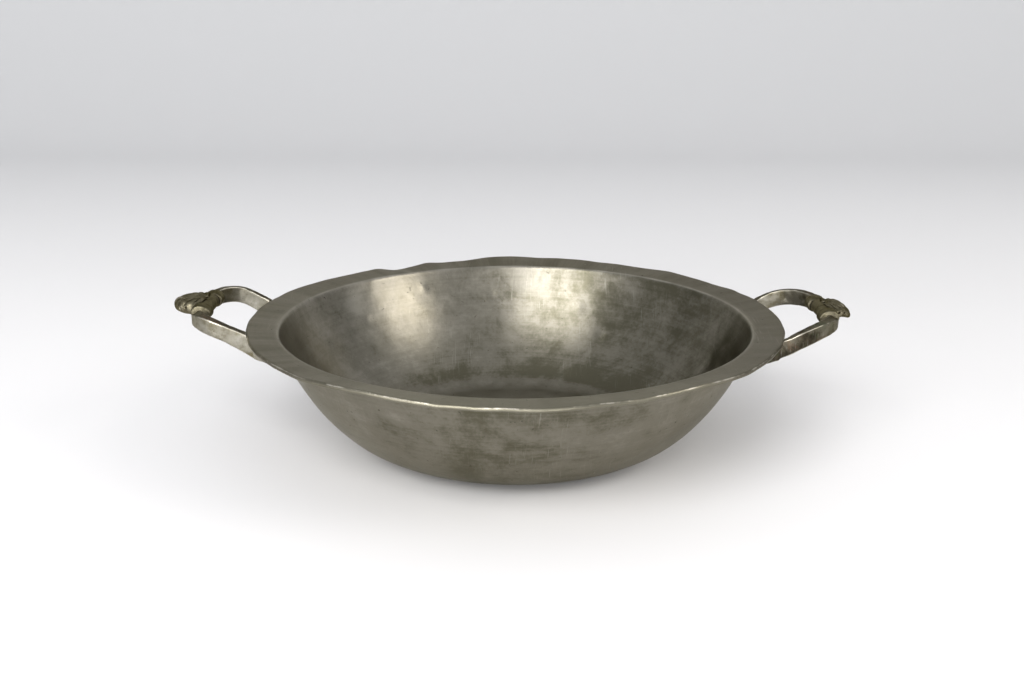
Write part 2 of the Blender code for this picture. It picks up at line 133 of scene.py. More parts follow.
# Handles are trimmed by the bowl's outline, which goes up this far past every part of them
TRIM_ABOVE = 40.0 * MM
TRIM_MIDDLE = 1.0 * MM
TRIM_STEPS = 360
TRIM_OVERLAP = 0.4 * MM
HANDLES = {
    "right": dict(
        seed=21, azimuth=0.0, side=42.1 * MM, widest=-2.4 * MM,
        neck=40.8 * MM, crown=6.6 * MM, widest_top=1.6 * MM, neck_top=-2.4 * MM,
        fall=0.57, foot_height=9.7 * MM, scroll=4.7 * MM, underside=2.6 * MM,
        lip=2.7 * MM, shell=15.9 * MM, tilt=0.05, droop=5.0 * MM,
    ),
    "left": dict(
        seed=31, azimuth=math.pi, side=36.0 * MM, widest=8.7 * MM,
        neck=34.8 * MM, crown=8.2 * MM, widest_top=6.8 * MM, neck_top=-2.0 * MM,
        fall=0.44, foot_height=12.0 * MM, scroll=6.6 * MM, underside=3.2 * MM,
        lip=3.8 * MM, shell=18.8 * MM, tilt=0.06, droop=0.6 * MM,
    ),
}

# Shell ornaments
SHELL_FLUTES = 9
SHELL_HALF_WIDTH = 13.5 * MM
SHELL_FAN = math.radians(82.0)
SHELL_SHOULDER = 1.5
SHELL_SCALLOP = 0.35 * MM
RINGS_PER_FLUTE = 28
RIB_POWER = 0.7
# Section of the shell: points on its underside, nose and roof, and turn of the nose in degrees
SECTION_POINTS = (10, 18, 26)
NOSE_TURN = (-80.0, 84.0)
LIP_RELIEF = 0.34 * MM
ROOF_LIFT = 0.4 * MM
ROOF_DOME = 0.9 * MM
FLUTE_DEPTH = 0.95 * MM
DROOP_START = RIM_RADIUS + STRAP_REACH + STRAP_THICKNESS / 2.0 + 0.6 * MM
DROOP_LENGTH = 9.0 * MM
DROOP_POWER = 1.5
OVERLAP = 0.3 * MM
HINGE_RADIUS = 4.0 * MM
HINGE_X = RIM_RADIUS + STRAP_REACH - STRAP_THICKNESS / 2.0 - HINGE_RADIUS + OVERLAP
HINGE_HALF_WIDTH = 9.6 * MM
VOLUTE_GROOVE = 10.6 * MM
VOLUTE_START = 11.4 * MM
VOLUTE_RADII = (5.6 * MM, 4.4 * MM)
VOLUTE_FACE = 18.6 * MM
VOLUTE_TURNS = 1.3
VOLUTE_RELIEF = 0.1 * MM
VOLUTE_DOME = 0.9 * MM
VOLUTE_INSET = 0.15 * MM
EYE_DEPTH = 0.5 * MM
EYE_SHARE = 0.15
ROLL_SIDES = 96
LEAF_START = 11.0 * MM
LEAF_END = 27.0 * MM
LEAF_THICK = 3.4 * MM
LEAF_THIN = 0.7 * MM
LEAF_TIP = 0.5 * MM
LEAF_RIB = 0.28 * MM
LEAF_RIBS = 4.5
LEAF_BELOW_TOP = 0.9 * MM
LEAF_ABOVE_FOOT = 0.6 * MM
LEAF_TAPER = 0.5 * MM
CAST_VOXEL = 0.24 * MM
CAST_SOFTENING = 2
CAST_SKIN = ((0.03 * MM, 4.5 * MM, 51), (0.015 * MM, 1.6 * MM, 52))
PIT_DEPTH = 0.9 * MM
PIT_RIM = 0.18 * MM
NOSE_LENGTH = 7.0 * MM
NOSE_FADE = 4.0 * MM

# Bent rim: azimuth and half width in degrees, and rise of the rim edge in millimetres
RIM_DENTS = (
    (92, 7, 1.3),
    (78, 7, 0.9),
    (108, 7, -1.3),
    (121, 6, -2.6),
    (240, 10, 1.2),
    (273, 12, -0.8),
    (304, 9, 1),
)
# Smaller knocks along the rim edge, in the same terms
RIM_KNOCKS = (
    (34, 8, -0.7),
    (47.5, 3.5, 0.45),
    (58.5, 4, -0.4),
    (98, 2, 0.25),
    (113.5, 2.2, 0.75),
    (123, 2.2, -0.5),
    (127.5, 2, 0.45),
    (138, 7, -0.75),
    (226, 4, -0.35),
    (256, 2.5, -0.35),
    (268, 1.6, 0.25),
    (285, 3, 0.35),
    (292, 2.2, -0.35),
    (322, 4, -0.4),
)
# Dings in the wall: azimuth in degrees; height, radius and depth in millimetres (minus is outwards)
WALL_DINGS = (
    (118, 58, 3, 0.3),
    (97, 52, 2.2, 0.22),
    (83, 60, 2, -0.2),
    (70, 44, 5, 0.3),
    (60, 30, 3.5, -0.25),
    (33, 38, 4, 0.35),
    (140, 46, 3, 0.25),
    (158, 40, 6, -0.3),
    (255, 34, 4, 0.25),
    (281, 48, 5, -0.3),
    (305, 26, 4, 0.3),
    (228, 44, 5, 0.28),
    (10, 36, 6, 0.35),
    (200, 30, 5, -0.3),
)


# ---- curves and patterns ----

def bezier(points, count):
    """Return count points on the cubic Bezier curve with the four given control points."""
    p0, p1, p2, p3 = (np.array(point, dtype=float) for point in points)
    t = np.linspace(0.0, 1.0, count)[:, None]
    s = 1.0 - t
    return s**3 * p0 + 3.0 * s**2 * t * p1 + 3.0 * s * t**2 * p2 + t**3 * p3


def arc(centre, radius, first, last, count):
    """Points on an arc between two angles in degrees."""
    turn = np.radians(np.linspace(first, last, count))
    return np.array(centre) + radius * np.column_stack((np.cos(turn), np.sin(turn)))


def ripple(points, wavelength, seed, waves=24):
    """Smooth noise between about -1 and 1: a sum of plane waves in seeded directions."""
    source = np.random.default_rng(seed)
    direction = source.normal(size=(waves, 3))
    direction /= np.linalg.norm(direction, axis=1)[:, None]
    stretch = source.uniform(0.6, 1.6, size=(waves, 1))
    phase = source.uniform(0.0, math.tau, size=waves)
    total = np.zeros(len(points))
    for vector, start in zip(direction * stretch, phase):
        total += np.sin(points @ vector * (math.tau / wavelength) + start)
    return total / math.sqrt(waves)


def ripples(points, layers):
    """Sum of smooth noises, from (height, wavelength, seed) layers."""
    return sum(height * ripple(points, wavelength, seed) for height, wavelength, seed in layers)


def polar(points):
    """Azimuth in degrees and radius of each point."""
    azimuth = np.degrees(np.arctan2(points[:, 1], points[:, 0])) % 360.0
    return azimuth, np.hypot(points[:, 0], points[:, 1])


def turn_from(azimuth, centre):
    """Signed turn in degrees from a centre to each azimuth."""
    return (azimuth - centre + 180.0) % 360.0 - 180.0


def bumps(azimuth, table):
    """Sum of the rises of a table of dents at the given azimuths in degrees."""
    rise = np.zeros_like(azimuth)
    for centre, half_width, height in table:
        rise += height * MM * np.exp(-((turn_from(azimuth, centre) / half_width) ** 2))
    return rise


def ramp(values, start, length):
    """0 up to the start, then rising to 1 over the length."""
    return np.clip((values - start) / length, 0.0, 1.0)


# ---- mesh helpers ----

def new_object(name, data):
    """Link a mesh, light or camera as a named object."""
    item = bpy.data.objects.new(name, data)
    bpy.context.scene.collection.objects.link(item)
    return item


def grid_mesh(name, grid):
    """Mesh of rings (rows) of points; each ring is closed, and the end rings are capped."""
    rows, count = grid.shape[:2]
    faces = []
    for low in range(0, (rows - 1) * count, count):
        high = low + count
        for j in range(count):
            k = (j + 1) % count
            faces.append((low + j, low + k, high + k, high + j))
    faces.append(tuple(range(count))[::-1])
    faces.append(tuple(range((rows - 1) * count, rows * count)))
    mesh = bpy.data.meshes.new(name)
    mesh.from_pydata(grid.reshape(-1, 3).tolist(), [], faces)
    outward(mesh)
    return mesh


def outward(mesh):
    """Make the faces of a closed mesh point out."""
    bm = bmesh.new()
    bm.from_mesh(mesh)
    bmesh.ops.recalc_face_normals(bm, faces=bm.faces)
    bm.to_mesh(mesh)
    bm.free()


def smooth(mesh, angle=40.0):
    """Shade a mesh smooth up to its sharp edges."""
    mesh.shade_smooth()
    mesh.set_sharp_from_angle(angle=math.radians(angle))


def stand_for(item, node):
    """Let a fine piece ride on the object in place of its CAD node."""
    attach(item, "root")
    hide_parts(node)
    return item


def apply_modifiers(item):
    """Replace an object's mesh by its mesh with the modifiers applied."""
    graph = bpy.context.evaluated_depsgraph_get()
    mesh = bpy.data.meshes.new_from_object(item.evaluated_get(graph))
    item.modifiers.clear()
    item.data = mesh
    return mesh


def add_values(mesh, name, values):
    """Store a number for each vertex, for the materials to read."""
    layer = mesh.attributes.new(name, "FLOAT", "POINT")
    layer.data.foreach_set("value", np.asarray(values, dtype=np.float32))


def vector_array(rows, field):
    """A vector of each vertex, such as its place or its normal, as an array."""
    values = np.zeros(len(rows) * 3, dtype=np.float32)
    rows.foreach_get(field, values)
    return values.reshape(-1, 3).astype(float)


def crest_values(mesh, spread):
    """How far each vertex stands proud of its neighbourhood, in millimetres, after spreading."""
    places = vector_array(mesh.vertices, "co")
    normals = vector_array(mesh.vertex_normals, "vector")
    ends = np.zeros(len(mesh.edges) * 2, dtype=np.int32)
    mesh.edges.foreach_get("vertices", ends)
    first, second = ends.reshape(-1, 2).T
    count = len(places)
    degree = np.maximum(np.bincount(ends, minlength=count), 1)

    def average(values):
        total = np.bincount(first, values[second], count) + np.bincount(second, values[first], count)
        return total / degree

    mean = places.copy()
    for _ in range(spread):
        mean = np.column_stack([average(mean[:, k]) for k in range(3)])
    return np.einsum("ij,ij->i", places - mean, normals) / MM


# ---- bowl ----

def outer_wall(count):
    """Outer side of the wall as (radius, height) points, from the flange down to the base."""
    top = (RIM_RADIUS - WALL_TOP_SHARE * FLANGE_WIDTH, BOWL_HEIGHT - FLANGE_DROP - WALL)
    bottom = (BASE_RADIUS, 0.0)
    steep = (top[0] - TOP_PULL_IN, top[1] - TOP_PULL_DOWN)
    flat = (bottom[0] + BASE_PULL_OUT, 0.0)
    return bezier((top, steep, flat, bottom), count)


def inner_wall(count):
    """Inner side of the wall, from the flange down to the floor."""
    wall = outer_wall(count)
    tangent = np.gradient(wall, axis=0)
    normal = np.column_stack((tangent[:, 1], -tangent[:, 0]))
    normal /= np.linalg.norm(normal, axis=1)[:, None]
    share = np.linspace(0.0, 1.0, count)[:, None]
    return wall + normal * (WALL + (FLOOR - WALL) * share**4)


def bowl_profile():
    """Open profile from the middle of the floor, up the inside, over the rim and down outside."""
    inside = inner_wall(INSIDE_POINTS)[CORNER_SKIP:][::-1]
    flange = BOWL_HEIGHT - FLANGE_DROP
    bend_knee = (RIM_RADIUS - FLANGE_WIDTH - BEND_KNEE, flange - BEND_KNEE)
    bend_end = (RIM_RADIUS - BEND_SHARE * FLANGE_WIDTH, BOWL_HEIGHT - BEND_SHARE * FLANGE_DROP)
    bend = bezier((inside[-1], bend_knee, bend_knee, bend_end), BEND_POINTS)
    rim_centre = (RIM_RADIUS - RIM_EDGE, BOWL_HEIGHT - RIM_EDGE)
    rim = arc(rim_centre, RIM_EDGE, 90.0, -90.0, RIM_POINTS)
    outside = outer_wall(OUTSIDE_POINTS)
    corner = bezier((UNDER_END, outside[0], outside[0], outside[CORNER_SKIP]), CORNER_POINTS)
    pieces = (
        np.linspace((MIDDLE_RADIUS, FLOOR), inside[0], FLOOR_POINTS)[:-1],
        inside,
        bend[1:],
        np.linspace(bend_end, rim[0], FLANGE_POINTS)[1:-1],
        rim,
        np.linspace(rim[-1], UNDER_END, UNDER_POINTS)[1:-1],
        corner[:-1],
        outside[CORNER_SKIP:],
        np.linspace(outside[-1], (MIDDLE_RADIUS, 0.0), BASE_POINTS)[1:],
    )
    return np.vstack(pieces)


def turned_grid(profile, steps):
    """Rings of a profile of (radius, height) points turned about the bowl's axis."""
    turn = np.linspace(0.0, math.tau, steps, endpoint=False)
    radius = profile[:, 0][:, None]
    height = np.repeat(profile[:, 1][:, None], steps, axis=1)
    return np.stack((radius * np.cos(turn), radius * np.sin(turn), height), axis=2)


def flange_share(points):
    """0 at the inner edge of the flange and on the rest of the bowl, 1 at the rim edge."""
    radius = np.hypot(points[:, 0], points[:, 1])
    share = (radius - (RIM_RADIUS - FLANGE_WIDTH)) / FLANGE_WIDTH
    share[points[:, 2] < FLANGE_FROM * BOWL_HEIGHT] = 0.0
    return np.clip(share, 0.0, None)


def weather_bowl(points):
    """Bend the flange, planish the wall and press the dings; the base stays flat."""
    azimuth, radius = polar(points)
    radius = np.maximum(radius, 1.0 * MM)
    outward_way = points[:, :2] / radius[:, None]
    round_way = np.column_stack((outward_way, np.zeros(len(points)))) * RIM_RADIUS
    share = flange_share(points)
    height = points[:, 2].copy()

    rise = bumps(azimuth, RIM_DENTS) + bumps(azimuth, RIM_KNOCKS)
    points[:, 2] += rise * share + ripples(round_way, HAMMERED) * np.minimum(share * 1.5, 1.0)
    pull = ripples(round_way, PULLED) - RIM_INSET
    pull -= NICK_DEPTH * np.clip(ripple(round_way, NICK_WAVE, 6) - NICKS_ABOVE, 0.0, 1.0)
    points[:, :2] += outward_way * (pull * share**2)[:, None]

    wall = ramp(height, 0.0, FLAT_BELOW) * (share == 0.0)
    planish = ripples(np.column_stack((round_way[:, :2] * 0.8, height)), PLANISHED)
    for centre, *lengths in WALL_DINGS:
        level, reach, depth = (length * MM for length in lengths)
        away = turn_from(azimuth, centre) * math.pi / 180.0 * radius
        distance = np.hypot(away, height - level)
        planish += depth * np.exp(-((distance / reach) ** 2))
    points[:, :2] += outward_way * (planish * wall)[:, None]
    return points


def patchy(azimuth, wavelength, seed):
    """Noise between about 0 and 1 that runs round the rim."""
    turn = np.radians(azimuth)
    circle = np.column_stack((np.cos(turn), np.sin(turn), np.zeros_like(turn))) * RIM_RADIUS
    return np.clip(0.5 + 0.5 * ripple(circle, wavelength, seed), 0.0, 1.0)


def near(points, radius, height, spread):
    """1 on a circle round the bowl's axis, falling off with the distance from it."""
    away = np.hypot(np.hypot(points[:, 0], points[:, 1]) - radius, points[:, 2] - height)
    return np.exp(-((away / spread) ** 2))


def add_bowl_values(mesh, rest):
    """Store where the bowl is worn or stained, and where painted highlight and painted shade go, from
    its unworn places.
    """
    azimuth, radius = polar(rest)
    height = rest[:, 2]
    share = flange_share(rest)
    inside = (share == 0.0) & is_inside(rest)
    low = height < BOWL_HEIGHT - WALL * 0.9
    under = low & (radius > RIM_RADIUS - FLANGE_WIDTH * 1.1)

    rim = near(rest, RIM_RADIUS - RIM_WEAR_INSET, BOWL_HEIGHT - RIM_WEAR_INSET, RIM_WEAR_SPREAD)
    worn = 0.35 + 0.6 * patchy(azimuth, 24.0 * MM, 11) + 0.35 * patchy(azimuth, 6.0 * MM, 12)
    add_values(mesh, "rim_wear", rim * worn)
    # The pale line at the inner bend is painted highlight, strongest at the back, and partly wear.
    bend_radius = RIM_RADIUS - FLANGE_WIDTH + BEND_LINE_INSET
    bend = near(rest, bend_radius, BOWL_HEIGHT - FLANGE_DROP - BEND_LINE_INSET, BEND_LINE_SPREAD)
    highlight_at_back = 0.45 + 0.55 * np.clip(np.sin(np.radians(azimuth)) * 1.6, 0.0, 1.0)
    add_values(mesh, "bend_wear_and_highlight", bend * highlight_at_back * (0.5 + 0.7 * patchy(azimuth, 30.0 * MM, 13)))
    add_values(mesh, "inside", inside.astype(float))
    add_values(mesh, "flange", np.minimum(share * 6.0, 1.0) * (~under))
    # Darker ring where the wall meets the floor: patina and painted shade in the corner.
    ring = np.exp(-(((radius - FLOOR_RING) / FLOOR_RING_WIDTH) ** 2))
    add_values(mesh, "floor_edge_patina_and_shade", ring * inside * (height < 0.35 * BOWL_HEIGHT))
    add_values(mesh, "floor", ramp(-radius, -FLOOR_RING, FLOOR_FADE) * inside)
    # Painted shade on the outer wall just under the flange's overhang.
    hidden = np.exp(-(BOWL_HEIGHT - WALL * 1.6 - height).clip(0.0) / UNDER_FADE)
    add_values(mesh, "under_flange_shade", hidden * ~inside * (share < 0.95) * low)


def build_bowl():
    """Fine bowl that stands for the CAD bowl."""
    grid = turned_grid(bowl_profile(), BOWL_STEPS)
    rest = grid.reshape(-1, 3)
    mesh = grid_mesh("bowl", weather_bowl(rest.copy()).reshape(grid.shape))
    smooth(mesh)
    add_bowl_values(mesh, rest)
    return stand_for(new_object("bowl", mesh), "bowl_body")


def is_inside(points):
    """True on the inner side of the bowl, below the flange."""
    wall = outer_wall(200)[::-1]
    skin = np.interp(points[:, 2], wall[:, 1], wall[:, 0])
    radius = np.hypot(points[:, 0], points[:, 1])
    return (points[:, 2] > FLOOR / 2.0) & ((radius < BASE_RADIUS) | (radius < skin - 0.4 * WALL))


# ---- straps ----

def half_strap(handle, density, sign):
    """Stations from a strap's middle to its foot at +w or -w: x, w, top height, strap height."""
    form = HANDLES[handle]
    side, neck_side, fall, foot = form["side"], form["neck"], form["fall"], form["foot_height"]
    reach = RIM_RADIUS + STRAP_REACH
    widest_x = RIM_RADIUS + form["widest"]
    crown = BOWL_HEIGHT + form["crown"]
    widest_top = BOWL_HEIGHT + form["widest_top"]
    neck_top = BOWL_HEIGHT + form["neck_top"]
    out = ROUND * (reach - widest_x)
    step = (widest_x - NECK_X) / 3.0
    low_side = STRAP_SIDE_HEIGHT - BEND_SLIMMER
    widest = (widest_x, side, widest_top, STRAP_SIDE_HEIGHT)
    neck = (NECK_X, neck_side, neck_top, foot)
    end = (
        (reach, 0.0, crown, STRAP_MIDDLE_HEIGHT),
        (reach, ROUND * side, crown + CROWN_RISE, STRAP_MIDDLE_HEIGHT),
        (widest_x + out, side, widest_top + fall * out, low_side),
        widest,
    )
    leg = (
        widest,
        (widest_x - step, side, widest_top - fall * step, STRAP_SIDE_HEIGHT + LEG_TALLER),
        (NECK_X + step, neck_side - NECK_PINCH, neck_top + NECK_FALL * fall * step, foot),
        neck,
    )
    spread = [neck]
    for inward, sideways in FOOT_SPREAD:
        spread.append((NECK_X - inward, neck_side + sideways, FOOT_TOP, foot))
    curves = zip((end, leg, spread), STRAP_POINTS)
    end_part, leg_part, foot_part = (bezier(curve, count * density) for curve, count in curves)
    return np.vstack((end_part, leg_part[1:], foot_part[1:])) * np.array((1.0, sign, 1.0, 1.0))


def sides(stations):
    """Unit vectors that point away from the bowl, square to the path, at each station."""
    along = np.gradient(stations[:, :2], axis=0)
    along /= np.linalg.norm(along, axis=1)[:, None]
    return np.column_stack((along[:, 1], -along[:, 0]))


def place(points, handle):
    """Turn points from handle coordinates (x, w, z) to the bowl's frame."""
    turn = HANDLES[handle]["azimuth"]
    cosine, sine = math.cos(turn), math.sin(turn)
    x, w, z = points[..., 0], points[..., 1], points[..., 2]
    return np.stack((x * cosine - w * sine, x * sine + w * cosine, z), axis=-1)


def rounded_outline(half, tall, arris, steps):
    """Outline of a bar across its path, as (across, height), with rounded arrises."""
    x, z = half - arris, tall - arris
    corners = ((x, z, 0.0), (-x, z, 90.0), (-x, -z, 180.0), (x, -z, 270.0))
    outline = [arc((x, z), arris, start, start + 90.0, 6) for x, z, start in corners]
    points = []
    for current, following in zip(outline, outline[1:] + outline[:1]):
        points += [current, np.linspace(current[-1], following[0], steps + 2)[1:-1]]
    return np.vstack(points)


def seat_drop(w):
    """How far the strap's top lies lower where the shell ornament sits on it."""
    share = np.clip((SEAT_END - abs(w)) / (SEAT_END - SEAT_HALF_WIDTH), 0.0, 1.0)
    return SEAT_DEPTH * share * share * (3.0 - 2.0 * share)


def outer_drop(w, handle):
    """How far the top's outer edge lies lower: on the seat, and on the sloping front leg."""
    if w * math.cos(HANDLES[handle]["azimuth"]) > 0.0:
        return seat_drop(w)
    past = max(0.0, abs(w) - SEAT_HALF_WIDTH) / SLANT_SPREAD
    return max(seat_drop(w), SLANT + (SLANT_AT_SHELL - SLANT) * math.exp(-(past**2)))


def lumpy(grid, layers):
    """Push the points of each ring away from its middle by smooth noise."""
    away = grid - grid.mean(axis=1, keepdims=True)
    away /= np.linalg.norm(away, axis=2, keepdims=True)
    return grid + away * ripples(grid.reshape(-1, 3), layers).reshape(grid.shape[:2])[:, :, None]


def strap_grid(handle):
    """Rings of a strap, with its seat for the shell and its hand-worked faces."""
    left = half_strap(handle, STRAP_DENSITY, -1.0)[:0:-1]
    stations = np.vstack((left, half_strap(handle, STRAP_DENSITY, 1.0)))
    rings = []
    for (x, w, top, height), side in zip(stations, sides(stations)):
        inner, outer = seat_drop(w), outer_drop(w, handle)
        tall = height - inner
        outline = rounded_outline(STRAP_THICKNESS / 2.0, tall / 2.0, STRAP_ARRIS, 8)
        across = outline[:, 0]
        lean = np.clip(0.5 + across / STRAP_THICKNESS, 0.0, 1.0) * (outer - inner)
        lean *= np.clip(0.5 + outline[:, 1] / tall, 0.0, 1.0)
        z = top - inner - tall / 2.0 + outline[:, 1] - lean
        rings.append(np.column_stack((x + across * side[0], w + across * side[1], z)))
    seed = HANDLES[handle]["seed"]
    shake = ((0.1 * MM, 18.0 * MM, seed), (0.05 * MM, 6.0 * MM, seed + 1))
    return lumpy(place(np.array(rings), handle), shake)


def envelope(name, gap):
    """Hidden solid of everything inside and above the bowl, to trim a handle against."""
    wall = outer_wall(60)
    under = np.array(((RIM_RADIUS, BOWL_HEIGHT - WALL), UNDER_END))
    shift = np.array((gap, -gap))
    lid = BOWL_HEIGHT + TRIM_ABOVE
    top = ((TRIM_MIDDLE, lid), (RIM_RADIUS + gap, lid))
    profile = np.vstack((top, under + shift, wall[1:] + shift, (TRIM_MIDDLE, -gap)))
    item = new_object(name, grid_mesh(name, turned_grid(profile, TRIM_STEPS)))
    item.hide_render = True
    item.display_type = "WIRE"
    return item


def trimmed_piece(name, grid, cutter, spread):
    """Fine piece cut with a hidden solid, with its crests marked."""
    item = new_object(name, grid_mesh(name, grid))
    modifier = item.modifiers.new("Trim", "BOOLEAN")
    modifier.operation = "DIFFERENCE"
    modifier.solver = "EXACT"
    modifier.object = cutter
    mesh = apply_modifiers(item)
    smooth(mesh, 50.0)
    add_values(mesh, "crest", crest_values(mesh, spread))
    return item


def build_strap(handle, cutter):
    """Fine strap that stands for the CAD strap."""
    item = trimmed_piece("strap_" + handle, strap_grid(handle), cutter, 10)
    y = vector_array(item.data.vertices, "co")[:, 1]
    facing = math.cos(HANDLES[handle]["azimuth"])
    add_values(item.data, "tarnish", ramp(-y, TARNISH_FROM, TARNISH_FADE) * (facing > 0.0))
    add_values(item.data, "near_shell", ramp(-np.abs(y), -NEAR_SHELL_END, NEAR_SHELL_FADE))
    return stand_for(item, "handle_strap_" + handle)


# ---- solder ----

def swollen(value):
    """Swell a sine or cosine so that a circle becomes a rounded box."""
    return np.sign(value) * np.abs(value) ** SOLDER_SWELL


def fillet_grid(handle, sign):
    """Rings of a solder collar that flares from the strap's foot on to the wall."""
    stations = half_strap(handle, FILLET_DENSITY, sign)
    reach = np.hypot(stations[:, 0], stations[:, 1])
    stations = stations[reach < FILLET_START]
    turn = np.linspace(0.0, math.tau, FILLET_SIDES, endpoint=False)
    rings = []
    for index, (station, side) in enumerate(zip(stations, sides(stations))):
        share = index / (len(stations) - 1)
        flare = FILLET_THIN + FILLET_GROWTH * share**2
        x, w, top, height = station
        across = (STRAP_THICKNESS / 2.0 + flare) * swollen(np.cos(turn))
        z = top - height / 2.0 + (height / 2.0 + flare) * swollen(np.sin(turn))
        rings.append(np.column_stack((x + across * side[0], w + across * side[1], z)))
    return lumpy(place(np.array(rings), handle), LUMPS)


def build_fillet(handle, sign, end, cutter):
    """Solder fillet that stands for the CAD fillet."""
    foot = handle + "_" + end
    item = trimmed_piece("solder_" + foot, fillet_grid(handle, sign), cutter, 6)
    return stand_for(item, "solder_fillet_" + foot)


# ---- shell ornaments ----

def tilted(points, handle):
    """Place points of the ornament, tilted up and outwards about its hinge."""
    raised = points.copy()
    raised[..., 2] += HANDLES[handle]["tilt"] * (points[..., 0] - HINGE_X)
    return place(raised, handle)


def rib_wave(angle):
    """Rounded ribs with narrow grooves over the fan of the shell: 1 on a rib, 0 in a groove."""
    return np.abs(np.cos(SHELL_FLUTES * math.pi * angle / (2.0 * SHELL_FAN))) ** RIB_POWER


def shell_grid(handle):
    """Rings of the domed, fluted fan that opens outward from the hinge."""
    form = HANDLES[handle]
    length, lip = form["shell"], form["lip"]
    base = BOWL_HEIGHT + form["underside"]
    start = HINGE_RADIUS / 2.0
    under_points, nose_points, roof_points = SECTION_POINTS
    rise = max(0.0, form["scroll"] + HINGE_RADIUS - form["underside"] - 2.0 * lip) + ROOF_LIFT
    rings = []
    for angle in np.linspace(-SHELL_FAN, SHELL_FAN, RINGS_PER_FLUTE * SHELL_FLUTES + 1):
        rib = rib_wave(angle)
        share = abs(math.sin(angle)) ** SHELL_SHOULDER
        reach = length + (SHELL_HALF_WIDTH - length) * share + SHELL_SCALLOP * rib
        centre = reach - lip
        nose = arc((centre, lip), lip, *NOSE_TURN, nose_points)
        upper = np.clip((nose[:, 1] - lip) / lip, 0.0, 1.0)
        nose[:, 1] += LIP_RELIEF * (rib - 0.6) * upper
        under = np.linspace((start, 0.0), (centre, 0.0), under_points)
        share_in = np.linspace(1.0, 0.0, roof_points)
        crown = ROOF_DOME * np.sin(math.pi * share_in) ** 0.7 + rise * (1.0 - share_in)
        depth = FLUTE_DEPTH * np.clip(share_in * 2.4, 0.3, 1.0) * (rib - 0.7)
        roof = np.column_stack((start + (centre - start) * share_in, 2.0 * lip + crown + depth))
        section = np.vstack((under, nose, roof))
        x = HINGE_X + section[:, 0] * math.cos(angle)
        past = np.clip(x - DROOP_START, 0.0, None) / DROOP_LENGTH
        z = base + section[:, 1] - form["droop"] * past**DROOP_POWER
        rings.append(np.column_stack((x, section[:, 0] * math.sin(angle), z)))
    return tilted(np.array(rings), handle)


def scroll_grid(handle):
    """Rings of the hinge roll, each end a volute with a spiral ridge round a small eye."""
    turn = np.linspace(0.0, math.tau, ROLL_SIDES, endpoint=False)
    round_roll = (HINGE_RADIUS, HINGE_RADIUS)
    half = [
        (0.0, 1.0, round_roll),
        (HINGE_HALF_WIDTH, 1.0, round_roll),
        (VOLUTE_GROOVE, 0.97, VOLUTE_RADII),
        (VOLUTE_START, 1.0, VOLUTE_RADII),
        (VOLUTE_FACE - 1.0 * MM, 1.0, VOLUTE_RADII),
        (VOLUTE_FACE - 0.3 * MM, 0.965, VOLUTE_RADII),
    ]
    half += [(VOLUTE_FACE, share, VOLUTE_RADII) for share in np.linspace(0.9, 0.04, 26)]
    rows = [(-w, share, radii) for w, share, radii in half[:0:-1]] + half
    z = BOWL_HEIGHT + HANDLES[handle]["scroll"]
    rings = []
    for w, share, (length_radius, height_radius) in rows:
        ring_w = np.full_like(turn, w)
        if abs(w) >= VOLUTE_FACE:
            way = math.copysign(1.0, w)
            phase = math.tau * share * VOLUTE_TURNS - turn * way
            relief = VOLUTE_RELIEF * np.cos(phase) * math.sin(math.pi * share) ** 0.5
            eye = EYE_DEPTH * math.exp(-((share / EYE_SHARE) ** 2))
            dome = VOLUTE_DOME * (1.0 - share**2)
            ring_w += way * (relief + dome - eye - VOLUTE_INSET)
        x = HINGE_X + share * length_radius * np.cos(turn)
        rings.append(np.column_stack((x, ring_w, z + share * height_radius * np.sin(turn))))
    return tilted(np.array(rings), handle)


def leaf_grid(handle, sign):
    """Rings of the ribbed leaf that thins out along the inner face of the strap."""
    stations = half_strap(handle, LEAF_DENSITY, sign)
    normals = sides(stations) * sign
    across = stations[:, 1] * sign
    inside = (across > LEAF_START) & (across < LEAF_END)
    face = -STRAP_THICKNESS / 2.0 + OVERLAP
    turn = np.linspace(-90.0, 90.0, 17)
    rings = []
    for station, side in zip(stations[inside], normals[inside]):
        x, w, top, height = station
        share = (abs(w) - LEAF_START) / (LEAF_END - LEAF_START)
        ribs = LEAF_RIB * math.cos(math.tau * LEAF_RIBS * share)
        thick = (LEAF_THICK * (1.0 - share) + LEAF_THIN + ribs) if share < 0.97 else LEAF_TIP
        high = top - LEAF_BELOW_TOP - LEAF_TAPER * share
        low = top - height + LEAF_ABOVE_FOOT - LEAF_TAPER * (1.0 - share)
        middle = (high + low) / 2.0
        bulge = thick * np.cos(np.radians(turn)) ** 0.7
        depth = np.concatenate(((face,), face - bulge, (face,)))
        z = np.concatenate(((low,), middle + (high - low) / 2.0 * np.sin(np.radians(turn)), (high,)))
        rings.append(np.column_stack((x + depth * side[0], w + depth * side[1], z)))
    return place(np.array(rings), handle)


def cast_together(name, meshes):
    """Melt overlapping closed meshes into one skin, as one casting, and soften it."""
    bm = bmesh.new()
    for mesh in meshes:
        bm.from_mesh(mesh)
    joined = bpy.data.meshes.new(name)
    bm.to_mesh(joined)
    bm.free()
    item = new_object(name, joined)
    remesh = item.modifiers.new("Cast", "REMESH")
    remesh.mode = "VOXEL"
    remesh.voxel_size = CAST_VOXEL
    soften = item.modifiers.new("Soften", "SMOOTH")
    soften.factor = 0.5
    soften.iterations = CAST_SOFTENING
    apply_modifiers(item)
    return item


def lip_pits(handle):
    """Small pits in the sides of the shell's lip: handle coordinates and radius."""
    form = HANDLES[handle]
    reach = HINGE_X + form["shell"]
    level = BOWL_HEIGHT + form["underside"] + 1.15 * form["lip"]
    return (
        (reach - 8.6 * MM, 12.4 * MM, level + 0.5 * MM, 0.9 * MM),
        (reach - 5.4 * MM, 10.2 * MM, level - 0.1 * MM, 0.7 * MM),
    )


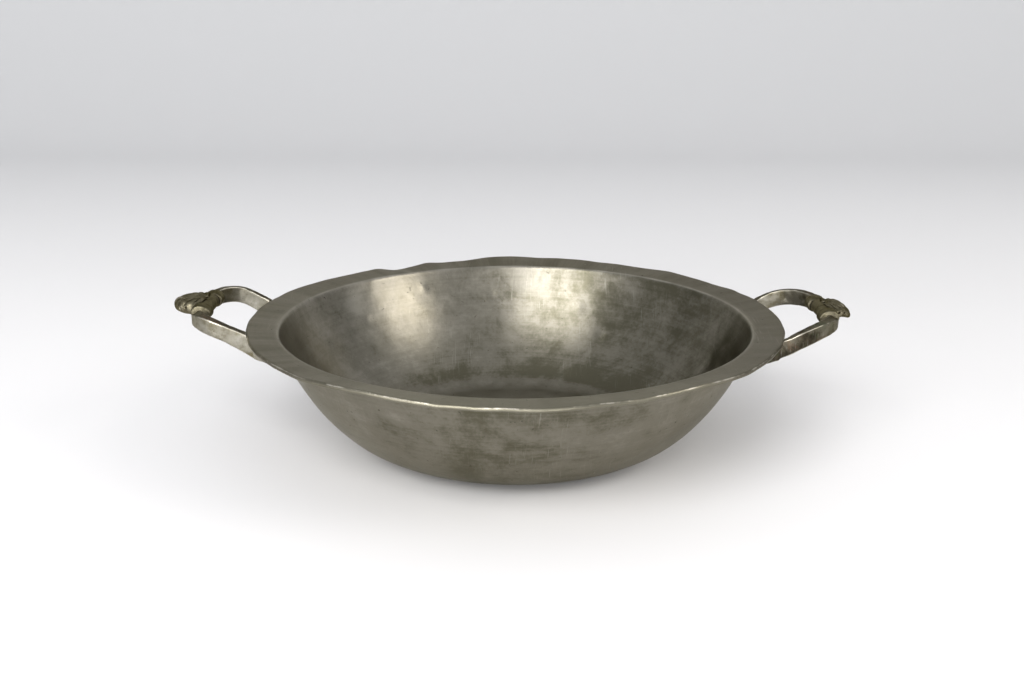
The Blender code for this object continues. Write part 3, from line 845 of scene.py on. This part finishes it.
def build_ornament(handle):
    """Cast shell with scroll and leaves that stands for the CAD ornament."""
    meshes = [grid_mesh("fan", shell_grid(handle)), grid_mesh("scroll", scroll_grid(handle))]
    for sign in (-1, 1):
        meshes.append(grid_mesh("leaf", leaf_grid(handle, sign)))
    item = cast_together("shell_" + handle, meshes)
    mesh = item.data
    points = vector_array(mesh.vertices, "co")
    normals = vector_array(mesh.vertex_normals, "vector")
    move = ripples(points, CAST_SKIN)
    for x, w, z, radius in lip_pits(handle):
        for sign in (-1.0, 1.0):
            centre = place(np.array((x, sign * w, z)), handle)
            distance = np.linalg.norm(points - centre, axis=1)
            move -= PIT_DEPTH * np.exp(-((distance / radius) ** 2))
            move += PIT_RIM * np.exp(-(((distance - 1.7 * radius) / (0.5 * radius)) ** 2))
    points += normals * move[:, None]
    mesh.vertices.foreach_set("co", points.astype(np.float32).ravel())
    mesh.update()
    smooth(mesh, 180.0)
    add_values(mesh, "crest", crest_values(mesh, 4))
    add_values(mesh, "hollow", crest_values(mesh, 16))
    nose = HINGE_X + HANDLES[handle]["shell"] - NOSE_LENGTH
    add_values(mesh, "nose", ramp(np.abs(points[:, 0]), nose, NOSE_FADE))
    return stand_for(item, "shell_ornament_" + handle)


# ---- materials ----

# Among these colours, the flange's right-side brown, its front colour and the far floor grey are painted
# shade and painted sheen, and the bend's pale colour is painted highlight with some wear.
COLOURS = dict(
    patina_dark=(0.112, 0.105, 0.074), patina=(0.205, 0.192, 0.155),
    patina_light=(0.285, 0.27, 0.228), polished=(0.34, 0.32, 0.275),
    flange_dark=(0.094, 0.085, 0.058), flange=(0.182, 0.168, 0.128),
    flange_light=(0.215, 0.2, 0.16), flange_right_shade=(0.08, 0.07, 0.052),
    flange_front_sheen=(0.245, 0.232, 0.18), bowl_scratch=(0.44, 0.43, 0.38),
    bowl_pit=(0.06, 0.055, 0.04), speck=(0.55, 0.53, 0.47),
    worn_rim=(0.62, 0.585, 0.505), bend_highlight_and_wear=(0.56, 0.53, 0.46),
    bowl_edge=(0.74, 0.72, 0.66), strap_dark=(0.12, 0.108, 0.072),
    strap=(0.26, 0.246, 0.2), strap_light=(0.335, 0.32, 0.272),
    strap_brown=(0.15, 0.132, 0.078), tarnish_dark=(0.028, 0.024, 0.016),
    tarnish=(0.112, 0.098, 0.068), tarnish_red=(0.088, 0.05, 0.032),
    tarnish_green=(0.056, 0.066, 0.036), olive_dark=(0.09, 0.078, 0.046),
    olive=(0.19, 0.168, 0.11), worn_arris=(0.6, 0.565, 0.475),
    strap_scratch=(0.48, 0.465, 0.42), strap_pit=(0.07, 0.06, 0.04),
    strap_edge=(0.6, 0.58, 0.51), cast_dark=(0.086, 0.077, 0.049),
    cast=(0.182, 0.164, 0.113), recess=(0.026, 0.022, 0.014),
    rib=(0.28, 0.255, 0.185), worn_nose=(0.5, 0.46, 0.38),
    cast_edge=(0.42, 0.4, 0.32), solder_dark=(0.07, 0.062, 0.044),
    solder=(0.15, 0.142, 0.114), solder_light=(0.24, 0.23, 0.19),
    floor=(0.79, 0.785, 0.79), floor_light=(0.82, 0.815, 0.82),
    far_floor_shade=(0.55, 0.555, 0.565),
)

SCRATCH_BLUR = 0.08


def colour(value):
    """Give a named colour its alpha, and leave a socket as it is."""
    return (*COLOURS[value], 1.0) if isinstance(value, str) else value


class Tree:
    """Node tree of a material or a world, with short calls for the nodes used here."""

    def __init__(self, owner):
        owner.use_nodes = True
        self.owner = owner
        self.nodes = owner.node_tree.nodes
        self.links = owner.node_tree.links

    def add(self, kind, inputs=(), output=0, **settings):
        """Add a node, set its settings and fill its inputs; return one of its outputs."""
        node = self.nodes.new(kind)
        for key, value in settings.items():
            setattr(node, key, value)
        self.fill(node, dict(inputs))
        return node.outputs[output]

    def fill(self, node, inputs):
        """Link the inputs of a node to outputs, or give them plain values."""
        for key, value in inputs.items():
            if isinstance(value, bpy.types.NodeSocket):
                self.links.new(value, node.inputs[key])
            else:
                node.inputs[key].default_value = value

    def place(self):
        """Place on the object, in metres."""
        return self.add("ShaderNodeTexCoord", output="Object")

    def value(self, name):
        """Number stored on the mesh."""
        return self.add("ShaderNodeAttribute", output="Fac", attribute_name=name)

    def split(self, vector):
        """The three parts of a vector."""
        return tuple(self.add("ShaderNodeSeparateXYZ", {0: vector}).node.outputs)

    def math(self, operation, first, second=0.0):
        """Arithmetic on two numbers."""
        return self.add("ShaderNodeMath", {0: first, 1: second}, operation=operation)

    def scaled(self, value, factor, offset=0.0):
        """Value times a factor, plus an offset."""
        inputs = {0: value, 1: factor, 2: offset}
        return self.add("ShaderNodeMath", inputs, operation="MULTIPLY_ADD")

    def weighted(self, total, *terms):
        """Sum of a first number and of (value, weight) pairs."""
        for value, weight in terms:
            total = self.scaled(value, weight, total)
        return total

    def vector(self, operation, first, second=(0.0, 0.0, 0.0), output=0):
        """Arithmetic on two vectors."""
        return self.add("ShaderNodeVectorMath", {0: first, 1: second}, output, operation=operation)

    def noise(self, place, scale, detail=4.0, roughness=0.55, distortion=0.0):
        """Noise between 0 and 1."""
        inputs = {"Vector": place, "Scale": scale, "Detail": detail}
        inputs.update({"Roughness": roughness, "Distortion": distortion})
        return self.add("ShaderNodeTexNoise", inputs)

    def between(self, value, low, high, first=0.0, last=1.0, steps="SMOOTHSTEP"):
        """Value from low to high mapped to first to last, and held outside."""
        inputs = {"Value": value, "From Min": low, "From Max": high, "To Min": first, "To Max": last}
        return self.add("ShaderNodeMapRange", inputs, interpolation_type=steps)

    def mix(self, share, first, second):
        """Mix of two colours."""
        inputs = {0: share, 6: colour(first), 7: colour(second)}
        return self.add("ShaderNodeMix", inputs, output=2, data_type="RGBA")

    def coat(self, base, over, value, low, high, most=1.0):
        """Base with a colour over it, from none where a value is low to the most where it is high."""
        return self.mix(self.between(value, low, high, 0.0, most), base, over)

    def wash(self, base, over, value, share):
        """Base with a share of a colour over it where a value is 1."""
        return self.mix(self.scaled(value, share), base, over)

    def turned(self, place, rotation, scale):
        """Place turned and stretched."""
        inputs = {"Vector": place, "Rotation": rotation, "Scale": scale}
        return self.add("ShaderNodeMapping", inputs)

    def bumps(self, *layers):
        """Bumps on each other, from (height between 0 and 1, distance that it stands for) pairs."""
        inputs = {}
        for height, distance in layers:
            inputs.update({"Height": height, "Distance": distance})
            inputs["Normal"] = self.add("ShaderNodeBump", inputs)
        return inputs["Normal"]

    def metal(self, base, rough, normal, edge, **inputs):
        """Finish a bare metal; the edge colour dulls it where it is seen at a slant."""
        inputs.update({"Base Color": base, "Roughness": rough, "Normal": normal, "Metallic": 1.0})
        inputs["Specular Tint"] = colour(edge)
        self.fill(self.nodes["Principled BSDF"], inputs)
        return self.owner


def new_tree(name):
    """Node tree of a new material."""
    return Tree(bpy.data.materials.new(name))


def scratches(tree, place, rotation, fine, long, low):
    """Thin broken lines along one direction, slightly wavy."""
    wander = tree.add("ShaderNodeTexNoise", {"Vector": place, "Scale": 14.0, "Detail": 2.0}, output=1)
    inputs = {0: wander, 1: (0.012, 0.012, 0.012), 2: place}
    warped = tree.add("ShaderNodeVectorMath", inputs, operation="MULTIPLY_ADD")
    stretched = tree.turned(warped, rotation, (fine, long, long))
    return tree.between(tree.noise(stretched, 1.0, 3.0, 0.6), low, low + SCRATCH_BLUR)


def bowl_tone(tree, place, across, noises):
    """How light the patina is, from about 0.2 to 0.8: clouds, blotches, streaks and stains, a lighter
    inner floor, and painted shade and painted sheen.
    """
    clouds, blotches, grain, rings = noises
    streaks = tree.noise(tree.turned(place, (0.0, 0.0, 0.0), (30.0, 30.0, 150.0)), 1.0, 5.0, 0.65)
    inside = tree.value("inside")
    outside = tree.scaled(inside, -1.0, 1.0)
    # Painted shade: the inside lighter on the left and darker on the right.
    painted_shade_right = tree.between(across, -0.8 * RIM_RADIUS, 0.6 * RIM_RADIUS, 0.08, -0.05)
    # Painted reflection: the outside darker in the middle and lighter towards both sides.
    painted_sheen_at_sides = tree.between(tree.math("ABSOLUTE", across), 0.0, 0.6 * RIM_RADIUS, -0.07, 0.06)
    return tree.weighted(
        -0.265,
        (clouds, 0.58),
        (blotches, 0.42),
        (streaks, 0.14),
        (grain, 0.16),
        (rings, 0.14),
        # Darker ring in the floor corner: patina and painted shade.
        (tree.value("floor_edge_patina_and_shade"), -0.12),
        (tree.value("floor"), 0.2),
        # Painted shade under the flange.
        (tree.value("under_flange_shade"), -0.1),
        (inside, painted_shade_right),
        (outside, painted_sheen_at_sides),
    )


def bowl_material():
    """Turned pewter: dark olive patina, worn silver-grey, turning marks, scratches and specks, with
    painted shade, sheen and highlight.
    """
    tree = new_tree("aged_pewter_bowl")
    place = tree.place()
    axis = tree.vector("MULTIPLY", place, (1.0, 1.0, 0.0))
    radius = tree.vector("LENGTH", axis, output="Value")
    spoke = tree.vector("NORMALIZE", axis)
    across, along, height = tree.split(place)
    ring = tree.add("ShaderNodeCombineXYZ", {"X": radius, "Z": height})
    inside = tree.value("inside")
    flange = tree.value("flange")

    clouds = tree.noise(place, 21.0, 7.0, 0.68, 0.8)
    blotches = tree.noise(place, 70.0, 8.0, 0.7, 0.3)
    grain = tree.noise(place, 480.0, 5.0, 0.65)
    rings = tree.noise(ring, 520.0, 3.0, 0.6)
    spokes = tree.noise(spoke, 13.0, 6.0, 0.72)
    tone = bowl_tone(tree, place, across, (clouds, blotches, grain, rings))

    base = tree.coat("patina_dark", "patina", tone, 0.3, 0.5)
    base = tree.coat(base, "patina_light", tone, 0.48, 0.68)
    upper = tree.scaled(inside, tree.between(height, 18.0 * MM, 48.0 * MM))
    polished = tree.between(tone, 0.4, 0.62, 0.0, 0.3)
    base = tree.wash(base, "polished", upper, polished)
    dull = tree.coat("flange_dark", "flange", spokes, 0.3, 0.7)
    dull = tree.coat(dull, "flange_light", tone, 0.42, 0.62, 0.6)
    # Painted shade: the flange darker and browner towards the right.
    dull = tree.coat(dull, "flange_right_shade", across, 0.35 * RIM_RADIUS, RIM_RADIUS, 0.5)
    # Painted sheen: the flange lighter towards the front.
    front, back = -0.95 * RIM_RADIUS, -0.55 * RIM_RADIUS
    dull = tree.coat(dull, "flange_front_sheen", along, back, front, 0.65)
    base = tree.wash(base, dull, flange, 0.85)

    hairlines = scratches(tree, place, (0.3, 0.5, 0.9), 1500.0, 40.0, 0.62)
    crossing = scratches(tree, place, (1.1, -0.4, 2.2), 1700.0, 50.0, 0.63)
    sweeping = scratches(tree, place, (0.9, 1.3, 0.2), 1300.0, 34.0, 0.64)
    lines = tree.math("MAXIMUM", tree.math("MAXIMUM", hairlines, crossing), sweeping)
    lines = tree.scaled(lines, tree.between(tree.noise(place, 26.0, 3.0), 0.46, 0.62))
    base = tree.wash(base, "bowl_scratch", lines, 0.28)
    pits = tree.between(tree.noise(place, 430.0, 2.0, 0.5), 0.7, 0.76)
    base = tree.wash(base, "bowl_pit", pits, 0.55)
    specks = tree.between(tree.noise(place, 390.0, 2.5, 0.6), 0.775, 0.81)
    base = tree.wash(base, "speck", specks, 0.8)
    wear = tree.scaled(tree.value("rim_wear"), tree.between(blotches, 0.34, 0.6, 0.3, 1.0))
    base = tree.coat(base, "worn_rim", wear, 0.42, 0.95, 0.75)
    # Pale line at the inner bend: painted highlight, partly wear.
    base = tree.wash(base, "bend_highlight_and_wear", tree.value("bend_wear_and_highlight"), 0.42)

    stains = ((inside, -0.03), (flange, 0.04), (tree.value("floor_edge_patina_and_shade"), 0.06))
    rough = tree.weighted(0.23, (blotches, 0.24), (pits, 0.2), *stains)
    marks = tree.weighted(0.0, (lines, -0.3), (pits, -1.0))
    turning = ((rings, 0.014 * MM), (blotches, 0.09 * MM), (grain, 0.014 * MM))
    normal = tree.bumps(*turning, (marks, 0.03 * MM))
    tangent = tree.add("ShaderNodeTangent", direction_type="RADIAL", axis="Z")
    brushed = {"Tangent": tangent, "Anisotropic": 0.55, "Anisotropic Rotation": 0.25}
    return tree.metal(base, rough, normal, "bowl_edge", **brushed)


def strap_material():
    """Cast and filed pewter: silver-grey, brown and green tarnish, worn arrises."""
    tree = new_tree("aged_pewter_strap")
    place = tree.place()
    clouds = tree.noise(place, 60.0, 6.0, 0.64, 0.5)
    blotches = tree.noise(place, 210.0, 6.0, 0.66)
    grain = tree.noise(place, 800.0, 3.0, 0.55)
    other = tree.noise(tree.vector("ADD", place, (0.31, 0.12, 0.4)), 95.0, 5.0, 0.62)
    facing_up = tree.split(tree.add("ShaderNodeNewGeometry", output="Normal"))[2]
    top = tree.between(facing_up, 0.55, 0.85)
    near_shell = tree.value("near_shell")
    tone = tree.weighted(0.0, (clouds, 0.55), (blotches, 0.45))

    base = tree.coat("strap_dark", "strap", tone, 0.36, 0.52)
    base = tree.coat(base, "strap_light", tone, 0.5, 0.64)
    base = tree.coat(base, "strap_brown", other, 0.5, 0.66, 0.75)
    dark = tree.coat("tarnish_dark", "tarnish", tone, 0.38, 0.64)
    dark = tree.coat(dark, "tarnish_red", other, 0.52, 0.64, 0.7)
    dark = tree.coat(dark, "tarnish_green", other, 0.46, 0.36, 0.7)
    olive = tree.coat("olive_dark", "olive", tone, 0.38, 0.6)
    base = tree.wash(base, olive, near_shell, 0.8)
    tarnish = tree.scaled(tree.value("tarnish"), tree.between(clouds, 0.66, 0.46, 0.75, 1.0))
    base = tree.mix(tree.math("MAXIMUM", tarnish, tree.scaled(top, 0.85)), base, dark)
    proud = tree.weighted(-0.24, (tree.value("crest"), 1.0), (other, 0.4), (near_shell, -0.08))
    base = tree.coat(base, "worn_arris", proud, 0.1, 0.24, 0.8)

    lines = scratches(tree, place, (0.2, 0.1, 0.4), 1500.0, 70.0, 0.61)
    base = tree.wash(base, "strap_scratch", lines, 0.25)
    pits = tree.between(tree.noise(place, 520.0, 2.0), 0.67, 0.73)
    base = tree.wash(base, "strap_pit", pits, 0.6)
    rough = tree.weighted(0.44, (tone, -0.2), (pits, 0.2))
    marks = tree.weighted(0.0, (lines, -0.3), (pits, -1.0))
    normal = tree.bumps((blotches, 0.07 * MM), (grain, 0.012 * MM), (marks, 0.03 * MM))
    return tree.metal(base, rough, normal, "strap_edge")


def ornament_material():
    """Cast pewter that was never polished in its recesses: olive-brown, bright on its crests."""
    tree = new_tree("aged_pewter_ornament")
    place = tree.place()
    blotches = tree.noise(place, 230.0, 6.0, 0.66)
    grain = tree.noise(place, 950.0, 3.0, 0.6)
    crest = tree.value("crest")
    base = tree.coat("cast_dark", "cast", blotches, 0.34, 0.64)
    base = tree.coat(base, "recess", tree.value("hollow"), 0.01, -0.12)
    proud = tree.weighted(-0.1, (crest, 1.0), (blotches, 0.2))
    base = tree.coat(base, "rib", proud, 0.08, 0.24, 0.5)
    worn = tree.scaled(tree.value("nose"), tree.between(blotches, 0.53, 0.6))
    base = tree.wash(base, "worn_nose", worn, 0.7)
    rough = tree.between(crest, -0.05, 0.08, 0.55, 0.34)
    normal = tree.bumps((blotches, 0.07 * MM), (grain, 0.03 * MM))
    return tree.metal(base, rough, normal, "cast_edge")


def solder_material():
    """Soft solder: dull grey, lumpy, with dark flux stains."""
    tree = new_tree("aged_solder")
    place = tree.place()
    blotches = tree.noise(place, 150.0, 6.0, 0.62, 0.5)
    grain = tree.noise(place, 800.0, 3.0, 0.6)
    base = tree.coat("solder_dark", "solder", blotches, 0.35, 0.62)
    base = tree.coat(base, "solder_light", tree.value("crest"), 0.03, 0.2, 0.6)
    rough = tree.between(blotches, 0.3, 0.7, 0.55, 0.38)
    normal = tree.bumps((blotches, 0.15 * MM), (grain, 0.02 * MM))
    return tree.metal(base, rough, normal, "strap_edge")


def floor_material():
    """Matt off-white paint with a faint roller grain, greyed towards the back by painted shade."""
    tree = new_tree("studio_floor")
    place = tree.place()
    light = tree.mix(tree.noise(place, 3.0, 3.0, 0.5), "floor", "floor_light")
    inputs = {
        # Painted shade: the floor greys with distance towards the back.
        "Base Color": tree.coat(light, "far_floor_shade", tree.split(place)[1], -0.3, 1.8),
        "Normal": tree.bumps((tree.noise(place, 260.0, 3.0, 0.5), 0.02 * MM)),
        "Roughness": 0.55,
        "Specular IOR Level": 0.25,
    }
    tree.fill(tree.nodes["Principled BSDF"], inputs)
    return tree.owner


# ---- studio ----

# Floor in metres: half width and near edge, then a sweep of the given radius up to a wall
FLOOR_HALF_WIDTH = 14.0
FLOOR_NEAR = -14.0
SWEEP_START = 1.1
SWEEP_RADIUS = 0.9
WALL_TOP = 3.2
# Soft lights: azimuth and elevation in degrees, size in metres, power and colour
WINDOWS = {
    "window_right": (108.0, 31.0, (0.9, 0.95), 16.0, (1.0, 0.95, 0.88)),
    "window_front": (-154.0, 40.0, (1.6, 1.2), 43.0, (1.0, 0.99, 0.985)),
    "window_low": (-160.0, 8.0, (4.0, 0.5), 49.0, (1.0, 0.99, 0.985)),
}
WINDOW_DISTANCE = 2.4
ROOM_COLOUR = (0.97, 0.98, 1.0, 1.0)
CAMERA_PLACE = (-0.0114 * RIM_RADIUS, -4.4053 * RIM_RADIUS, BOWL_HEIGHT + 1.2381 * RIM_RADIUS)
CAMERA_DOWN = math.radians(16.861)
CAMERA_ROLL = math.radians(0.164)
CAMERA_LENS = 42.5


def build_floor():
    """Pale floor that rises in a wide sweep far behind the object."""
    profile = [(FLOOR_NEAR, 0.0), (0.0, 0.0)]
    for a in np.radians(np.linspace(0.0, 90.0, 33)):
        y = SWEEP_START + SWEEP_RADIUS * math.sin(a)
        profile.append((y, SWEEP_RADIUS - SWEEP_RADIUS * math.cos(a)))
    profile.append((SWEEP_START + SWEEP_RADIUS, WALL_TOP))
    verts = [(x, y, z) for y, z in profile for x in (-FLOOR_HALF_WIDTH, FLOOR_HALF_WIDTH)]
    faces = [(2 * i, 2 * i + 1, 2 * i + 3, 2 * i + 2) for i in range(len(profile) - 1)]
    mesh = bpy.data.meshes.new("studio_floor")
    mesh.from_pydata(verts, [], faces)
    mesh.shade_smooth()
    mesh.materials.append(floor_material())
    new_object("studio_floor", mesh)


def add_window(name, azimuth, elevation, size, power, tint):
    """Soft rectangular light that faces the bowl; azimuth 0 is towards +Y and 90 towards +X."""
    data = bpy.data.lights.new(name, "AREA")
    data.shape = "RECTANGLE"
    data.size, data.size_y = size
    data.energy = power
    data.color = tint
    a, e = math.radians(azimuth), math.radians(elevation)
    way = Vector((math.sin(a) * math.cos(e), math.cos(a) * math.cos(e), math.sin(e)))
    item = new_object(name, data)
    item.location = way * WINDOW_DISTANCE + Vector((0.0, 0.0, BOWL_HEIGHT))
    item.rotation_euler = way.to_track_quat("Z", "Y").to_euler()


def build_world():
    """Pale room light: darker overhead than near the horizon, and darker towards the left."""
    tree = Tree(bpy.data.worlds.new("studio"))
    bpy.context.scene.world = tree.owner
    x, _, z = tree.split(tree.add("ShaderNodeTexCoord", output="Generated"))
    overhead = tree.between(z, 0.0, 0.35, 1.1, 0.74, "LINEAR")
    strength = tree.scaled(overhead, tree.between(x, -1.0, 0.2, 0.8, 1.0, "LINEAR"))
    tree.fill(tree.nodes["Background"], {"Color": ROOM_COLOUR, "Strength": strength})


def build_camera():
    """Camera a little above the rim, in front of the bowl."""
    data = bpy.data.cameras.new("camera")
    data.lens = CAMERA_LENS
    data.sensor_width = 36.0
    camera = new_object("camera", data)
    pitch = Matrix.Rotation(math.radians(90.0) - CAMERA_DOWN, 4, "X")
    camera.matrix_world = Matrix.Translation(CAMERA_PLACE) @ pitch @ Matrix.Rotation(CAMERA_ROLL, 4, "Z")
    bpy.context.scene.camera = camera


# ---- assembly ----

def build():
    """Make every piece, give it its material, and set the studio."""
    build_bowl().data.materials.append(bowl_material())
    cutter = envelope("handle_cutter", -TRIM_OVERLAP)
    strap, ornament, solder = strap_material(), ornament_material(), solder_material()
    for handle in HANDLES:
        facing = math.cos(HANDLES[handle]["azimuth"])
        build_strap(handle, cutter).data.materials.append(strap)
        build_ornament(handle).data.materials.append(ornament)
        for sign, end in ((-facing, "front"), (facing, "back")):
            build_fillet(handle, sign, end, cutter).data.materials.append(solder)
    bpy.data.objects.remove(cutter, do_unlink=True)
    build_floor()
    build_world()
    for name, window in WINDOWS.items():
        add_window(name, *window)
    build_camera()
    bpy.context.scene.view_settings.view_transform = "Standard"


build()
